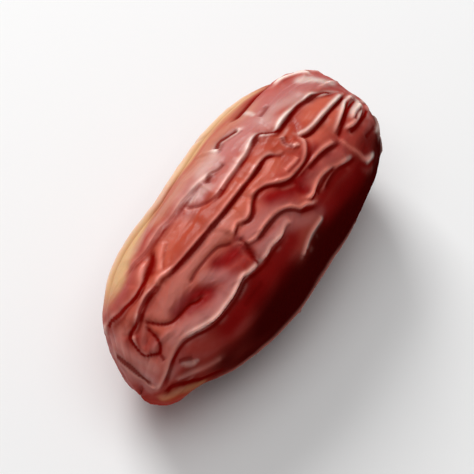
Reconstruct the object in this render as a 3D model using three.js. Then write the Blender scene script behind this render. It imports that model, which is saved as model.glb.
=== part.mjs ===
import * as THREE from "three";
import { mergeVertices } from "three/addons/utils/BufferGeometryUtils.js";

// One kalmi date, the dried fruit of the date palm, lying on its side.
// It is a single piece: flesh and skin are one solid, whose skin has shrunk into folds.
// Millimetres, +Z up. +X runs along the fruit to the end where the stem was, and -X to the tip.

// Size of the fruit.
const LENGTH = 44;
const WIDTH = 20.5;
const HEIGHT = 18.8;

// Form of the body: 2 is an ellipse, and more is blunter.
const TIP_BLUNTNESS = 2.08;
const STEM_BLUNTNESS = 3.3;
const GIRTH_BLUNTNESS = 2.15;
const THICKEST_AT = -0.2; // share of the half length, towards the tip
const STEM_TAPER = 0.05; // share of the girth that is lost by the stem end
const TIP_DROP = 1.9; // the tip sits to one side of the middle of its blunt end
const TIP_DROP_FROM = 0.72;
const PRESSED_FLAT = 0.5; // depth to which the fruit's own weight flattens its underside
const PRESSED_FADE = 0.9; // height over which the folds come back above the flat
const FOLD_HEIGHT = 1.2; // the folds' heights and widths are all multiplied by these
const FOLD_WIDTH = 1.02;
const HIGHEST_FOLD = 1.1;
const FOLDS_ADD = 0.5; // what they add to the smooth body on each side

// Mesh: meridians, closer together on the upper front, and evenly spaced rings.
const AROUND = 82;
const ALONG = 72;
const FRONT_CROWDING = 0.32;
const RING_EVENING = 0.68;

// The folds on the upper front are drawn on a grid, as they look from above the tip end.
const GRID = 0.2614; // one step of the drawing
const DRAWING_TURN = THREE.MathUtils.degToRad(18); // the drawing faces this far off the top, towards -Y
const DRAWING_LEAN = THREE.MathUtils.degToRad(25.4); // and this far towards the tip
const DRAWING_SKEW = THREE.MathUtils.degToRad(2.3); // the fruit's axis falls this much across the sheet
const DRAWING_MIDDLE = [-2.1, -2.4];
const VIEWER_AWAY = 600; // the drawing is what somebody sees from here
const MEAN_FOLD = 0.35; // height of the drawn lines above the smooth body

// Scar of the stem, and the small point at the tip.
const SCAR_RADIUS = 2.1;
const SCAR_DEPTH = 0.55;
const SCAR_RIM = 0.32;
const POINT_RADIUS = 0.7;
const POINT_RISE = 0.2;

const A = LENGTH / 2 - FOLDS_ADD;
const SIDE = WIDTH / 2 - FOLDS_ADD;
const UP = (HEIGHT + PRESSED_FLAT - FOLDS_ADD) / 2;
const FLOOR = PRESSED_FLAT - UP;
const MIDDLE_HEIGHT = (FLOOR + UP + FOLDS_ADD) / 2;
const smooth = THREE.MathUtils.smoothstep;

// A small seeded generator, so that each build draws the same fruit.
function seeded(seed) {
  let state = seed;
  return (from, to) => {
    state = (Math.imul(state, 1664525) + 1013904223) >>> 0;
    return from + ((to - from) * state) / 4294967296;
  };
}

const bluntness = (t) => (t < 0 ? TIP_BLUNTNESS : STEM_BLUNTNESS);

// Girth of the smooth body at a share t of the half length, from -1 at the tip to 1 at the stem.
function girth(t) {
  const n = bluntness(t);
  const cap = Math.pow(Math.max(0, 1 - Math.pow(Math.abs(t), n)), 1 / n);
  const away = (t - THICKEST_AT) / (1 - THICKEST_AT);
  return cap * (1 - STEM_TAPER * away * away);
}

// Unit directions of the drawing: square to the fruit towards the viewer, up the page, all the way to the
// viewer, who leans towards the tip, and right on the page.
const FACING = new THREE.Vector3(0, -Math.sin(DRAWING_TURN), Math.cos(DRAWING_TURN));
const PAGE_UP = new THREE.Vector3(0, Math.cos(DRAWING_TURN), Math.sin(DRAWING_TURN));
const ALONG_FRUIT = new THREE.Vector3(1, 0, 0);
const TO_VIEWER = FACING.clone().multiplyScalar(Math.cos(DRAWING_LEAN))
  .addScaledVector(ALONG_FRUIT, -Math.sin(DRAWING_LEAN));
const PAGE_RIGHT = FACING.clone().multiplyScalar(Math.sin(DRAWING_LEAN))
  .addScaledVector(ALONG_FRUIT, Math.cos(DRAWING_LEAN));

// How far the middle of the section has moved down the page, near the tip.
function tipDrop(t) {
  return TIP_DROP * Math.pow(smooth(-t, TIP_DROP_FROM, 1), 1.5);
}

// A point of the smooth body: t along it, and the angle round it from the facing side, down the page.
function bodyPoint(t, angle) {
  const y = FACING.y * Math.cos(angle) - PAGE_UP.y * Math.sin(angle);
  const z = FACING.z * Math.cos(angle) - PAGE_UP.z * Math.sin(angle);
  const n = GIRTH_BLUNTNESS;
  const reach = Math.pow(Math.pow(Math.abs(y) / SIDE, n) + Math.pow(Math.abs(z) / UP, n), -1 / n);
  const radius = girth(t) * reach;
  const drop = tipDrop(t);
  return new THREE.Vector3(A * t, y * radius - PAGE_UP.y * drop, z * radius - PAGE_UP.z * drop);
}

// The way out of the smooth body at a point of it.
function outwardAt({ x, y, z }) {
  const t = THREE.MathUtils.clamp(x / A, -1, 1);
  const n = bluntness(t);
  const across = Math.pow(Math.hypot(y, z) / SIDE, n - 2) / SIDE ** 2;
  return new THREE.Vector3((Math.sign(t) * Math.abs(t) ** (n - 1)) / A, across * y, across * z).normalize();
}

// Lumps and flats too broad to be folds.
function lumps(t, angle) {
  return (
    0.14 * Math.sin(2 * angle + 2.1 * t + 0.6) +
    0.12 * Math.sin(3 * angle - 4.3 * t + 2.2) +
    0.1 * Math.sin(angle + 7.1 * t + 1.1) +
    0.07 * Math.sin(5 * angle + 5.7 * t)
  );
}

// The t and the angle of the place on the body that is seen at a point of the drawing. It is found by
// walking: each pass goes half of the way that the seen point is still off.
function fromDrawing([x, y]) {
  const right = (x - DRAWING_MIDDLE[0]) * GRID;
  const down = (y - DRAWING_MIDDLE[1]) * GRID;
  const along = right * Math.cos(DRAWING_SKEW) + down * Math.sin(DRAWING_SKEW);
  const across = down * Math.cos(DRAWING_SKEW) - right * Math.sin(DRAWING_SKEW);
  let t = 0;
  let angle = 0;
  for (let pass = 0; pass < 40; pass++) {
    const seen = bodyPoint(t, angle);
    seen.addScaledVector(outwardAt(seen), MEAN_FOLD);
    seen.z -= MIDDLE_HEIGHT;
    seen.divideScalar(1 - seen.dot(TO_VIEWER) / VIEWER_AWAY);
    const radius = Math.max(0.5, girth(t) * SIDE);
    t = THREE.MathUtils.clamp(t + (0.5 * (along - seen.dot(PAGE_RIGHT))) / A, -0.985, 0.985);
    const sine = Math.sin(angle) + (0.5 * (across + seen.dot(PAGE_UP))) / radius;
    angle = Math.asin(THREE.MathUtils.clamp(sine, -0.999, 0.999));
  }
  return [t, angle];
}

// One fold: its height, its half width, the depth of the crease beside it, and the points that it runs
// through. A fold has its crease on the right hand, as it is followed.
const fold = (rise, spread, crease, ...path) => ({ rise, spread, crease, path });

// Folds of the upper front.
const DRAWN = [
  fold(0.34, 0.55, 0.22, [-40, -31.5], [-30, -31], [-18, -31], [-5, -30.2], [6, -29], [14, -27],
    [21, -25.5]),
  fold(0.34, 0.55, 0.3, [-66, -25], [-58, -24.5], [-50, -24], [-43, -23.2], [-37, -24.5], [-31, -26.5],
    [-24, -29]),
  fold(0.4, 0.55, 0.42, [-63, -21], [-59, -17.5], [-52, -17.5], [-45, -19], [-38, -19.2], [-32, -18],
    [-20, -16], [-5, -14.3], [10, -12.8], [20, -12.4], [28, -12.2], [33, -11], [36, -8.5], [39, -7]),
  fold(0.4, 0.6, 0.28, [-5, -28], [-1, -23.5], [4, -20.8], [12, -19.8], [22, -19.8], [30, -20.5],
    [37, -21], [41, -18], [45, -15.2], [52, -14.4], [60, -13], [66, -10], [70, -6], [73, -2]),
  fold(0.3, 0.5, 0.2, [47, -3], [44, -5], [43, -8.5], [44, -12.5]),
  fold(0.42, 0.6, 0.34, [48.5, -8], [50.5, -5], [55, -3.4], [62, -2.4], [69, -1.6], [75, -1]),
  fold(0.36, 0.55, 0.38, [-9, -5], [-2, -4], [4, -3.8], [8, -3.2], [12, -4.6], [16, -6.6], [20, -6.6],
    [24, -4.4], [27, -1.6], [31, 0.6], [36, 1.8], [42, 1.9], [46, 0.8], [48.5, -2], [48, -6]),
  fold(0.38, 0.6, 0.42, [-2.5, 0], [-0.5, 3], [4, 4.8], [11, 4.8], [17, 6.2], [21, 9], [24, 13],
    [28, 15.8], [31, 17]),
  fold(0.3, 0.5, 0.26, [28, 12], [31, 13.8], [36, 13], [42, 12.7], [46, 13.5], [50, 16], [53, 18],
    [56, 19.5]),
  fold(0.24, 0.45, 0.2, [31, 18], [36, 16], [42, 15.6], [47, 17], [52, 19.5]),
  fold(0.32, 0.5, 0.26, [34, 4.2], [41, 5.2], [47, 6.2], [52, 7.8], [57, 8.4], [62, 7.3], [67, 4.6],
    [72, 3], [76, 4.5]),
  fold(0.28, 0.5, 0.16, [57, 23.5], [56.5, 19], [57, 14], [56.5, 9.5]),
  fold(0.34, 0.5, 0.2, [67, 8], [71, 6.6], [76, 6.8]),
  fold(0.3, 0.5, 0.24, [62, 9.8], [66, 11.3], [71, 11], [74.5, 9]),
  fold(0.44, 0.7, 0.36, [-74, 7.4], [-66, 6.8], [-60, 5], [-54, 3.8], [-48, 4.6], [-43, 7], [-38, 9.6],
    [-31, 11.3], [-24, 11.6], [-15, 10.8], [-8, 12], [-2, 12.4], [6, 12.6], [13, 12.5], [17, 15],
    [19, 19]),
  fold(0.3, 0.55, 0.25, [-62, 11.5], [-57, 16.5], [-51, 20.5], [-45, 23]),
  fold(0.26, 0.5, 0.2, [8, 25], [14, 23.2], [20, 22.3], [27, 22.6]),
  fold(0.24, 0.5, 0.2, [22, -32], [27, -31.2], [31, -29.6], [36, -28.6]),
  fold(0.2, 0.5, 0.16, [43, -25], [48, -24.6], [54, -24.4]),
  fold(0.22, 0.5, 0.18, [55, -24], [58, -22], [62, -19.5]),
  fold(0.3, 0.6, 0.3, [60, -27], [66, -23.5], [70, -19.5], [72, -16]),
];

// Creases and hollows of the upper front, with no crest of their own.
const SUNKEN = [
  fold(-0.4, 0.6, 0, [-54, -14.5], [-51.5, -11.5], [-50, -7.5], [-47.5, -4.6], [-43, -3.4], [-37, -3]),
  fold(-0.36, 0.5, 0, [-60, -14.5], [-63.5, -11], [-64.5, -6.5], [-62.5, -2.5], [-59.5, -0.8],
    [-56.5, -2.5], [-55, -6], [-55.5, -10], [-54, -13]),
  fold(-0.34, 0.6, 0, [-69, -17.5], [-70.5, -12], [-72, -6], [-73.3, -1], [-71.5, 4]),
  fold(-0.28, 0.6, 0, [-38, -6.5], [-30, -7.6], [-22, -8], [-15, -7.2], [-10, -6.4]),
  fold(-0.5, 1.3, 0, [-42, -4], [-35, -3.4], [-28, -1], [-25, 3]),
  fold(-0.42, 1.2, 0, [-14, -1], [-10, -2.6], [-6, -2]),
  fold(-0.4, 0.8, 0, [-6, 10], [-3.5, 7], [-2, 3], [-2.5, -1.5]),
  fold(-0.3, 1.2, 0, [30, 9], [33, 8], [36, 8.6]),
];

// Folds of the sides and the underside, which run from end to end, wander and fork.
function sideFolds() {
  const draw = seeded(20);
  const made = [];
  const first = 82;
  const last = 278;
  const count = 10;
  const turn = (k) => first + ((last - first) * k) / (count - 1);
  for (let k = 0; k < count; k++) {
    const from = draw(-0.84, -0.5);
    const to = draw(0.55, 0.93);
    const middle = turn(k) + draw(-4, 4);
    const sway = draw(3, 7);
    const phase = draw(0, 6.28);
    const waves = draw(3.5, 6.5);
    const flip = draw(0, 1) < 0.5;
    const path = [];
    for (let i = 0; i <= 8; i++) {
      const t = from + ((to - from) * i) / 8;
      path.push([t, middle + sway * Math.sin(waves * t + phase) + 2 * Math.sin(11 * t + 2 * phase)]);
    }
    if (flip) path.reverse();
    made.push({ rise: draw(0.28, 0.46), spread: draw(0.7, 0.95), crease: draw(0.2, 0.36), angles: path });
    if (k === 0) continue;
    const fork = draw(-0.6, 0.5);
    const reach = draw(0.14, 0.3);
    const start = turn(k - 1);
    const end = turn(k);
    made.push({
      rise: draw(0.24, 0.4), spread: draw(0.6, 0.8), crease: draw(0.1, 0.26),
      angles: [
        [fork, start + 1],
        [fork + reach * 0.35, start + 5],
        [fork + reach * 0.6, end - 6],
        [fork + reach, end - 1],
      ],
    });
  }
  return made;
}

// Pleats that gather to the tip and to the stem end.
function endPleats() {
  const draw = seeded(7);
  const made = [];
  const pleats = [
    { end: -0.985, count: 13, reach: [0.1, 0.26], rise: [0.08, 0.18] },
    { end: 0.965, count: 15, reach: [0.1, 0.24], rise: [0.16, 0.3] },
  ];
  for (const { end, count, reach, rise } of pleats) {
    for (let k = 0; k < count; k++) {
      const at = (360 * k) / count + draw(-7, 7);
      const back = end - Math.sign(end) * draw(...reach);
      made.push({
        rise: draw(...rise), spread: draw(0.45, 0.6), crease: 0.1,
        angles: [[end, at], [(end + back) / 2, at + draw(-4, 4)], [back, at + draw(-9, 9)]],
      });
    }
  }
  return made;
}

// Each fold becomes a line of closely spaced marks on the smooth body, with the way to its left hand.
function traced(fold) {
  const stations = fold.path
    ? fold.path.map(fromDrawing)
    : fold.angles.map(([t, angle]) => [t, THREE.MathUtils.degToRad(angle)]);
  const points = stations.map(([t, angle]) => bodyPoint(t, angle));
  const curve = new THREE.CatmullRomCurve3(points, false, "catmullrom", 0.5);
  const count = Math.max(8, Math.ceil(curve.getLength() / 0.35));
  const marks = [];
  for (let i = 0; i <= count; i++) {
    const s = i / count;
    const at = curve.getPointAt(s);
    const left = new THREE.Vector3().crossVectors(outwardAt(at), curve.getTangentAt(s)).normalize();
    const fade = smooth(s, 0, 0.16) * smooth(1 - s, 0, 0.16);
    marks.push({ at, left, fade: 0.25 + 0.75 * fade });
  }
  return { ...fold, marks };
}

const FOLDS = [...DRAWN, ...SUNKEN, ...sideFolds(), ...endPleats()].map(traced);

// Height that one fold gives the skin at a point of the smooth body.
function foldHeight(fold, point) {
  const spread = FOLD_WIDTH * fold.spread;
  const reach = 4 * spread;
  let nearest = reach * reach;
  let mark = null;
  for (const m of fold.marks) {
    const square = m.at.distanceToSquared(point);
    if (square < nearest) {
      nearest = square;
      mark = m;
    }
  }
  if (!mark) return 0;
  const side = mark.left.dot(mark.at) - mark.left.dot(point);
  const ahead = nearest - side * side;
  const crest = fold.rise * Math.exp(-nearest / spread ** 2);
  const beside = (side - 1.5 * spread) ** 2 + ahead;
  const crease = fold.crease * Math.exp(-beside / (0.9 * spread) ** 2);
  return FOLD_HEIGHT * mark.fade * (crest - crease);
}

// The scar that the stem left, a sunken disc in a raised rim, and the small point at the tip.
function endMarks(t, point) {
  const off = Math.hypot(point.y, point.z);
  if (t > 0.5) {
    const rim = SCAR_RIM * Math.exp(-(((off - SCAR_RADIUS) / 0.5) ** 2));
    return rim - SCAR_DEPTH * (1 - smooth(off, 0.5 * SCAR_RADIUS, SCAR_RADIUS));
  }
  if (t < -0.5) {
    const drop = Math.hypot(point.y + PAGE_UP.y * TIP_DROP, point.z + PAGE_UP.z * TIP_DROP);
    return POINT_RISE * Math.exp(-((drop / POINT_RADIUS) ** 2));
  }
  return 0;
}

// The skin over one point of a unit ball whose poles are the two ends of the fruit.
function toSkin(onBall) {
  const n = bluntness(onBall.x);
  const reach = Math.hypot(onBall.y, onBall.z) ** n + Math.abs(RING_EVENING * onBall.x) ** n;
  const t = (RING_EVENING * onBall.x) / reach ** (1 / n);
  const even = Math.atan2(-onBall.dot(PAGE_UP), onBall.dot(FACING));
  const angle = even - FRONT_CROWDING * Math.sin(even);
  const point = bodyPoint(t, angle);
  const folds = FOLDS.reduce((sum, fold) => sum + foldHeight(fold, point), 0);
  const free = smooth(point.z, FLOOR, FLOOR + PRESSED_FADE);
  const height = free * (HIGHEST_FOLD * Math.tanh(folds / HIGHEST_FOLD) + lumps(t, angle));
  point.addScaledVector(outwardAt(point), height + endMarks(t, point));
  point.z = Math.max(FLOOR, point.z);
  return point;
}

// Each square of the mesh is split along the diagonal that lies closer to the skin, so crests stay sharp.
function splitAlongFolds(index, onBall, onSkin) {
  for (let i = 3 * AROUND; i < index.length - 3 * AROUND; i += 6) {
    const [a, b, d, , c] = index.slice(i, i + 5);
    const corners = [a, b, c, d].map((corner) => onBall[corner]);
    const middle = toSkin(corners.reduce((sum, corner) => sum.add(corner), new THREE.Vector3()).normalize());
    const gap = (p, q) => onSkin[p].clone().lerp(onSkin[q], 0.5).distanceTo(middle);
    if (gap(a, c) < gap(b, d)) index.set([a, b, c, a, c, d], i);
  }
}

function dateGeometry() {
  const ball = new THREE.SphereGeometry(1, AROUND, ALONG);
  ball.rotateZ(-Math.PI / 2);
  ball.deleteAttribute("normal");
  ball.deleteAttribute("uv");
  const skin = mergeVertices(ball, 1e-5);
  const place = skin.getAttribute("position");
  const onBall = Array.from({ length: place.count }, (_, i) =>
    new THREE.Vector3().fromBufferAttribute(place, i),
  );
  const onSkin = onBall.map(toSkin);
  splitAlongFolds(skin.index.array, onBall, onSkin);
  onSkin.forEach((point, i) => place.setXYZ(i, ...point));
  skin.computeBoundingBox();
  const { min, max } = skin.boundingBox;
  skin.translate(-(min.x + max.x) / 2, -(min.y + max.y) / 2, -min.z);
  skin.computeVertexNormals();
  return skin;
}

const skinColour = new THREE.MeshStandardMaterial({ color: 0x7a2a1f, roughness: 0.38, metalness: 0 });
const fruit = new THREE.Mesh(dateGeometry(), skinColour);
fruit.name = "kalmi_date";

const part = new THREE.Group();
part.add(fruit);

export default part;
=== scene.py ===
# %% [markdown]
# # A kalmi date
#
# A kalmi date is the dried fruit of a date palm: a blunt, thumb-shaped berry about 44 mm long.
# As the flesh loses its water, the skin has to cover less and less, so it buckles into folds.
# The folds run mostly along the fruit, wander, fork and end in small hooks.
# Here one date lies on its side on a pale table, with its tip towards us.
#
# The solid model of the fruit is already there, and it is our frame: the finished skin must
# lie where that solid lies. So the first thing is to load it and to keep its box.

# %% Load the solid model
import math

import bpy
import numpy as np
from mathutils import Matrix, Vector, noise


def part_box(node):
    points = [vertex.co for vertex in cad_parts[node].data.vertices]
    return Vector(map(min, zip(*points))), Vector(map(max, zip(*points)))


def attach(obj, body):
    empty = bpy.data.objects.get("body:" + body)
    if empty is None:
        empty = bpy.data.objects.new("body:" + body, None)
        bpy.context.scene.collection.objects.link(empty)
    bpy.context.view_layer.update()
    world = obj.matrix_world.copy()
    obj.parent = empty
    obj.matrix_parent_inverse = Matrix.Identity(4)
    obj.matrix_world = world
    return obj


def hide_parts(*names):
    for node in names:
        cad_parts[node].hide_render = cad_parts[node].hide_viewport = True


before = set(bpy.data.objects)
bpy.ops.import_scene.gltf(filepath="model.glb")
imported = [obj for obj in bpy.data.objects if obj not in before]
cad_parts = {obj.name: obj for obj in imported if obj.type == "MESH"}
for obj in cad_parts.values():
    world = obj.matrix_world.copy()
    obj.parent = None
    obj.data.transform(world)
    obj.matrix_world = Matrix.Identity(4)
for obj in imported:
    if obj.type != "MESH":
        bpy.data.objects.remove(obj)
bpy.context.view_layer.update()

MM = 0.001
low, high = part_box("kalmi_date")
length, width, height = ((high - low) / MM)[:]
print(f"the fruit is {length:.1f} mm long, {width:.1f} mm wide and {height:.1f} mm high")

# %% [markdown]
# ## The smooth body
#
# Before any folds there is the plump body that the fruit had when it was fresh. A ball that is
# only stretched would have pointed ends, and a date's are blunt, the stem's end most of all. A
# superellipse is a good way to draw such a form: its one number says how square it is.
#
# We will describe each place on the skin by two numbers: t, from -1 at the tip to 1 at the
# stem, and an angle round the fruit. The angle is 0 on the side that faces us, and grows
# downwards in the picture.

# %% Sizes of the smooth body
FOLDS_ADD = 0.55  # mm that the folds stand above the smooth body
PRESSED_FLAT = 0.5  # mm that the fruit's own weight flattens
half_length = length / 2 - FOLDS_ADD
half_width = width / 2 - FOLDS_ADD
half_height = (height + PRESSED_FLAT - FOLDS_ADD) / 2
floor_level = PRESSED_FLAT - half_height
middle_height = (floor_level + half_height + FOLDS_ADD) / 2
print(f"the smooth body is {2 * half_length:.1f} by {2 * half_width:.1f} by {2 * half_height:.1f} mm")

# %% Shape of the smooth body
TIP_BLUNTNESS = 2.08
STEM_BLUNTNESS = 3.3
GIRTH_BLUNTNESS = 2.15
THICKEST_AT = -0.2
STEM_TAPER = 0.05
TIP_DROP = 1.9  # mm that the tip lies below the middle line, as we see it
TIP_DROP_FROM = 0.72
TIP_DROP_CURVE = 1.5
ROLL = math.radians(18)  # between straight up and the side that faces us

facing = np.array([0, -math.sin(ROLL), math.cos(ROLL)])
page_up = np.array([0, math.cos(ROLL), math.sin(ROLL)])


def smoothstep(value, start, end):
    share = np.clip((value - start) / (end - start), 0, 1)
    return share * share * (3 - 2 * share)


def girth(t):
    bluntness = np.where(t < 0, TIP_BLUNTNESS, STEM_BLUNTNESS)
    cap = np.maximum(0, 1 - np.abs(t) ** bluntness) ** (1 / bluntness)
    return cap * (1 - STEM_TAPER * ((t - THICKEST_AT) / (1 - THICKEST_AT)) ** 2)


def tip_drop(t):
    return TIP_DROP * smoothstep(-t, TIP_DROP_FROM, 1) ** TIP_DROP_CURVE


def body_points(t, angle):
    ray = np.outer(np.cos(angle), facing) - np.outer(np.sin(angle), page_up)
    squareness = (np.abs(ray[:, 1]) / half_width) ** GIRTH_BLUNTNESS
    squareness += (np.abs(ray[:, 2]) / half_height) ** GIRTH_BLUNTNESS
    points = ray * (girth(t) * squareness ** (-1 / GIRTH_BLUNTNESS))[:, None]
    points -= np.outer(tip_drop(t), page_up)
    points[:, 0] = half_length * t
    return points


def outward(points):
    t = np.clip(points[:, 0] / half_length, -1, 1)
    bluntness = np.where(t < 0, TIP_BLUNTNESS, STEM_BLUNTNESS)
    off_axis = np.hypot(points[:, 1], points[:, 2]) / half_width
    out = points * (off_axis ** (bluntness - 2) / half_width**2)[:, None]
    out[:, 0] = np.sign(t) * np.abs(t) ** (bluntness - 1) / half_length
    return out / np.linalg.norm(out, axis=1, keepdims=True)


# %% [markdown]
# ## Folds are lines with a cross-section
#
# Wrinkled skin could be carved with a sculpting brush, or raised from a noise texture. Noise
# gives lumps without direction, and a brush needs a hand. We draw the folds instead, as a
# tailor marks pleats on cloth: each fold is a line on the skin with a cross-section. A crest
# climbs slowly on the side towards the light and drops steeply behind, and a crease is a narrow
# groove in a shallow valley.
#
# The drawing is flat and the fruit is round, so every point of it has to be laid onto the
# body, at the height that the top or the bottom of the fold will have. One step of the drawing
# is 0.26 mm, x runs to the right and y down, and the tip leans 25 degrees towards us.

# %% From the flat drawing to the round fruit
STEP = 0.2614  # mm
LEAN = math.radians(25.4)
SKEW = math.radians(2.3)
MIDDLE = np.array([-2.1, -2.4])  # of the fruit, in steps of the drawing
CAMERA_AWAY = 600  # mm
MEAN_LEVEL = 0.1  # mm that the skin lies above the smooth body between the folds
ROUNDS = 40
MENDED = 0.5  # share of the error that each round takes away
THINNEST = 0.5  # mm, so that the ends can't divide by zero
LAST_T = 0.985
LAST_SINE = 0.999

to_camera = math.cos(LEAN) * facing - math.sin(LEAN) * np.array([1, 0, 0])
picture_right = math.sin(LEAN) * facing + math.cos(LEAN) * np.array([1, 0, 0])


def on_fruit(path, level=MEAN_LEVEL):
    """The t and angle of the places on the skin that the camera sees at the drawn points."""
    right, down = ((np.array(path, float) - MIDDLE) * STEP).T
    along = right * math.cos(SKEW) + down * math.sin(SKEW)
    across = down * math.cos(SKEW) - right * math.sin(SKEW)
    t = np.zeros(len(path))
    angle = np.zeros(len(path))
    for _ in range(ROUNDS):
        smooth = body_points(t, angle)
        seen = smooth + level * outward(smooth) - np.array([0, 0, middle_height])
        seen /= 1 - (seen @ to_camera / CAMERA_AWAY)[:, None]
        radius = np.maximum(THINNEST, girth(t) * half_width)
        t = np.clip(t + MENDED * (along - seen @ picture_right) / half_length, -LAST_T, LAST_T)
        sine = np.sin(angle) + MENDED * (across + seen @ page_up) / radius
        angle = np.arcsin(np.clip(sine, -LAST_SINE, LAST_SINE))
    return t, angle


def curve_through(stations, spacing=0.12):
    """Marks on a smooth curve through the stations, a Catmull-Rom spline."""
    ends = np.vstack([2 * stations[0] - stations[1], stations, 2 * stations[-1] - stations[-2]])
    marks = []
    for a, b, c, d in zip(ends, ends[1:], ends[2:], ends[3:]):
        s = np.linspace(0, 1, max(2, int(np.linalg.norm(c - b) / spacing) + 1))[:-1, None]
        marks.append(0.5 * (2 * b + (c - a) * s + (2 * a - 5 * b + 4 * c - d) * s**2
                            + (3 * b - a - 3 * c + d) * s**3))
    marks.append(stations[-1:])
    return np.vstack(marks)


# %% [markdown]
# ## The crests that face us
#
# These lines were read one after another, following the bright edge of each fold from
# the tip (left in the drawing) to the stem. The first number is the height of the crest in
# millimetres.

# %% Crests of the upper side
CRESTS = [
    (0.40, [(-71.7, -17), (-73, -8.7), (-74.4, -1), (-74, 4), (-73, 7)]),
    (0.16, [(-74, 7), (-66, 6.2), (-60, 4.4), (-53.7, 3.1), (-49.4, 3.6), (-45, 5.4)]),
    (0.60, [(-53.7, 3.1), (-49.4, 3.6), (-44, 5.9), (-41, 7.5), (-37, 9.2), (-32, 10.5), (-24, 10.8),
            (-18, 10.2), (-13, 9.4), (-10, 10.8), (-5.6, 11.6), (-1.7, 9.7)]),
    (0.40, [(-4, 12), (0.6, 12.2), (3.9, 11.6), (9.4, 12.2), (15, 11.3), (17.4, 12.8)]),
    (0.08, [(-58.3, 10.2), (-56, 13), (-54, 13.6)]),
    (0.08, [(-66, 10.6), (-60, 14), (-53, 18.2), (-46, 21.4)]),
    (0.60, [(-60.8, -15.6), (-64, -12), (-65.6, -8), (-64.6, -3)]),
    (0.54, [(-63, -20), (-61, -17.6), (-57.8, -16.4), (-54.4, -17.3), (-50, -18.7), (-44.4, -19.8),
            (-39, -19.2), (-34, -19.8), (-28.3, -17.8), (-21, -16.4), (-12.8, -15.6), (-4.4, -14.8),
            (3.9, -13.9), (12.2, -13.4), (21, -12.8), (28.3, -12.6), (32.2, -12.8), (35.6, -11.4),
            (36.7, -9.2), (38.9, -7.8)]),
    (0.48, [(-67, -26.5), (-65.6, -25.9), (-57.8, -24.5), (-52, -24.2), (-46.7, -23.4), (-42, -23.7),
            (-37.8, -26.4), (-34, -27.8), (-30, -28.7)]),
    (0.18, [(-31.6, -20.6), (-28.8, -23), (-25, -25.4), (-20, -27)]),
    (0.42, [(-40, -32), (-35.6, -31.7), (-29, -31.2), (-15.6, -31.2), (-10, -30.6), (-1.7, -30.3),
            (6.7, -29.8), (12.2, -28.1), (16.7, -26.4), (20, -25.9)]),
    (0.14, [(-5, -28), (-1, -23.5), (3, -21)]),
    (0.46, [(2, -21.5), (6, -20.3), (9.4, -19.5), (15, -19.8), (20, -19.8), (28.3, -19.8), (33.9, -20.9),
            (38.3, -20.9), (41, -18.1), (44.4, -15), (49, -15.3), (54.4, -14.8), (60, -13.4),
            (65.6, -11.2), (69, -7.6), (71.7, -4.8), (74, -2.6)]),
    (0.30, [(22, -31), (26.5, -32.2), (30, -31.2), (34, -29.4), (38, -28)]),
    (0.30, [(60, -27), (66, -23.5), (70, -19.5), (72, -16)]),
    (0.46, [(45, -11.6), (42.8, -8.7), (43.3, -5.3), (46, -3.1)]),
    (0.60, [(48.9, -7.6), (50.6, -5), (54.4, -3.4), (60, -2.6), (65.6, -2), (70, -1.2), (75, -0.3)]),
    (0.32, [(-2, -4.4), (1, -5.4), (3.9, -5.9), (6.7, -3.9), (9.4, -3.9), (12.2, -5.3), (15.5, -7.2)]),
    (0.46, [(15, -7), (18, -7.4), (20.6, -6.4), (23.9, -4.8), (26.7, -2), (29.4, 0.2), (32.2, 1.6),
            (37.8, 2.2), (42.2, 1.9), (46, -0.3), (48.3, -2.6), (49, -7)]),
    (0.26, [(32.2, -1.7), (37.8, -0.6), (40.6, -0.6)]),
    (0.34, [(34, 3.8), (36.7, 4), (43.3, 4.9), (49, 5.8), (53.3, 7.4), (55.6, 8.6)]),
    (0.20, [(57.2, 9.6), (56.9, 12.5), (56.7, 15), (56.7, 19), (56, 22.4), (57.2, 24), (59.4, 24.4)]),
    (0.44, [(-3, -1), (-1.4, 0.8), (0.2, 3), (3.9, 4.4), (9.4, 4.1), (15, 4.7), (18.3, 6), (21.7, 8.6),
            (23.3, 11.9), (26.7, 13.6), (28.9, 15.8), (30.6, 16.9)]),
    (0.34, [(27.8, 11.3), (30.6, 13.3), (34.4, 12.7), (38.9, 12), (42.5, 12.3), (45.5, 13.6),
            (48.5, 15.6), (53, 17.4)]),
    (0.22, [(35, 15.8), (40, 14.9), (45, 14.9), (48, 15.8)]),
    (0.22, [(7.8, 25.5), (12.2, 23.8), (16, 22.7), (20, 22.2), (26.7, 22.4)]),
    (0.36, [(58.5, 6.2), (60, 5.8), (64.4, 4.7), (69, 3.3), (72.8, 2.2), (75.6, 4)]),
    (0.42, [(67.5, 8.8), (70.5, 8.1), (74.5, 8.3)]),
    (0.36, [(62.8, 9), (65.6, 10.5), (70, 10.8), (73.3, 9.7)]),
    (0.26, [(75.6, 8), (76, 11.3), (75, 15.8)]),
    (0.20, [(68.3, 19.9), (71.7, 18.8)]),
]

# %% [markdown]
# ## The creases that face us
#
# Beside most crests the skin dives down, and its bottom edge is a thin dark line. These lines
# were read in the same way. A few short ones with no crest beside them are dimples.

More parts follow.
